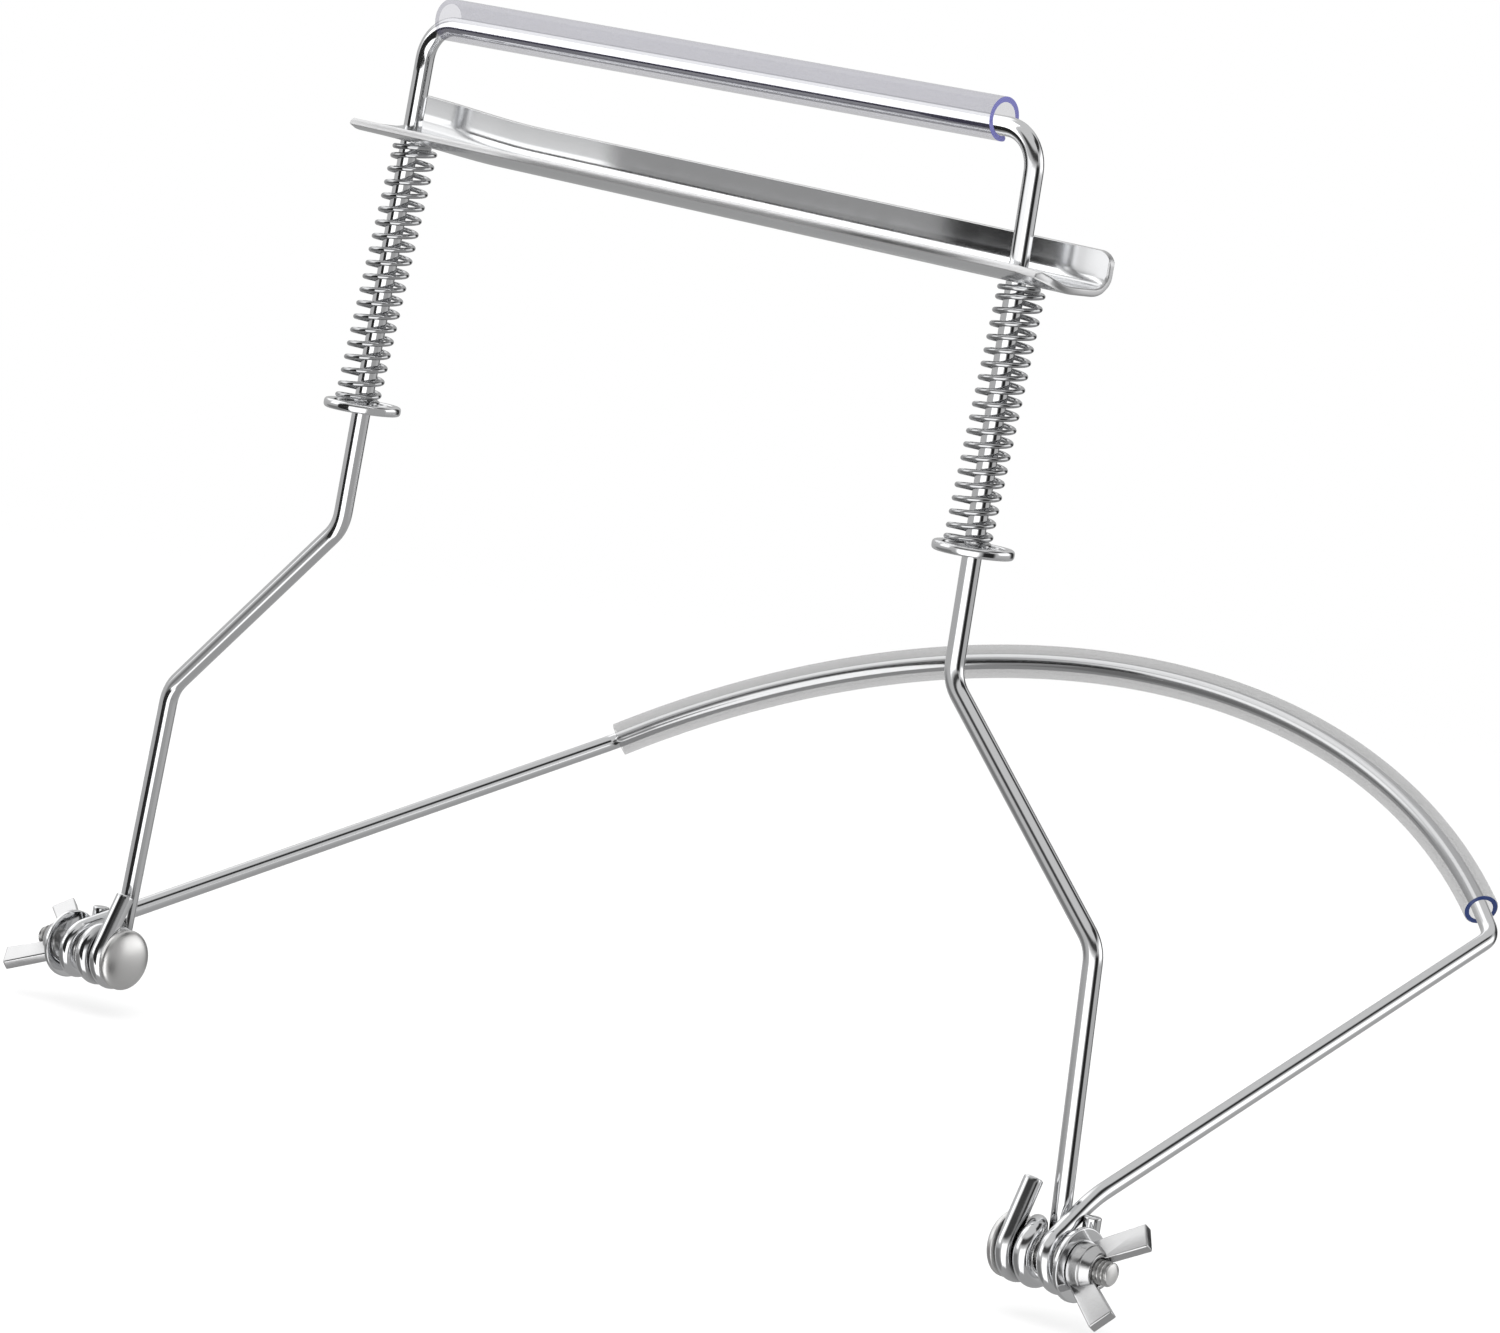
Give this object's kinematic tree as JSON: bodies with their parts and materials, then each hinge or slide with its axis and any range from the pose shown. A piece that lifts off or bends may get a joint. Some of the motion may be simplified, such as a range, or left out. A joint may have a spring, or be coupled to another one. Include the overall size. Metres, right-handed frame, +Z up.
{
  "type": "harmonica holder",
  "caption": "Neck-worn harmonica holder: a wire yoke rests on the neck and a swinging wire frame clamps a harmonica with a sprung plate.",
  "frame": {"origin": "the neck rest: inner side of the clear tube at the middle of the neck arc, where the holder hangs on the neck", "axes": "+X towards the end with the longer yoke arm, +Y from the front frame towards the back of the neck, +Z up along the frame's uprights"},
  "size_m": [0.1989, 0.1257, 0.1435],
  "materials": {
    "neck_yoke": "polished nickel-plated steel wire",
    "neck_tube": "clear soft vinyl tube",
    "front_frame": "polished nickel-plated steel wire",
    "top_bar_sleeve": "clear soft vinyl sleeve",
    "clamp_plate": "polished nickel-plated sheet steel",
    "spring_left": "bright plated spring wire",
    "spring_right": "bright plated spring wire",
    "spring_seat_left": "polished plated steel",
    "spring_seat_right": "polished plated steel",
    "pivot_bolt_left": "satin nickel-plated steel",
    "pivot_bolt_right": "satin nickel-plated steel",
    "pivot_washer_left": "plated steel",
    "pivot_washer_right": "plated steel",
    "wing_nut_left": "smooth dull plated casting",
    "wing_nut_right": "smooth dull plated casting"
  },
  "bodies": {
    "neck_yoke": {"neck_yoke": "neck_yoke", "neck_tube": "neck_tube", "pivot_bolt_left": "pivot_bolt_left", "pivot_bolt_right": "pivot_bolt_right", "pivot_washer_left": "pivot_washer_left", "pivot_washer_right": "pivot_washer_right"},
    "front_frame": {"front_frame": "front_frame", "top_bar_sleeve": "top_bar_sleeve", "spring_seat_left": "spring_seat_left", "spring_seat_right": "spring_seat_right", "spring_left": "spring_left", "spring_right": "spring_right"},
    "clamp_plate": {"clamp_plate": "clamp_plate"},
    "wing_nut_left": {"wing_nut_left": "wing_nut_left"},
    "wing_nut_right": {"wing_nut_right": "wing_nut_right"}
  },
  "joints": [
    {"name": "frame_swing", "type": "hinge", "parent": "neck_yoke", "child": "front_frame", "pos_m": [0.00258, -0.115, -0.05504], "axis": [1, 0, 0], "range_deg": [-33, 280]},
    {"name": "plate_slide", "type": "slide", "parent": "front_frame", "child": "clamp_plate", "axis": [0, 0, 1], "range_m": [-0.014, 0.006], "stiffness_N_per_m": 1400, "springref_m": 0.006, "deforming": ["spring_left", "spring_right"]},
    {"name": "wing_nut_left_turn", "type": "hinge", "parent": "neck_yoke", "child": "wing_nut_left", "pos_m": [-0.08908, -0.115, -0.05504], "axis": [1, 0, 0], "continuous": true},
    {"name": "wing_nut_right_turn", "type": "hinge", "parent": "neck_yoke", "child": "wing_nut_right", "pos_m": [0.09423, -0.115, -0.05504], "axis": [1, 0, 0], "continuous": true}
  ]
}
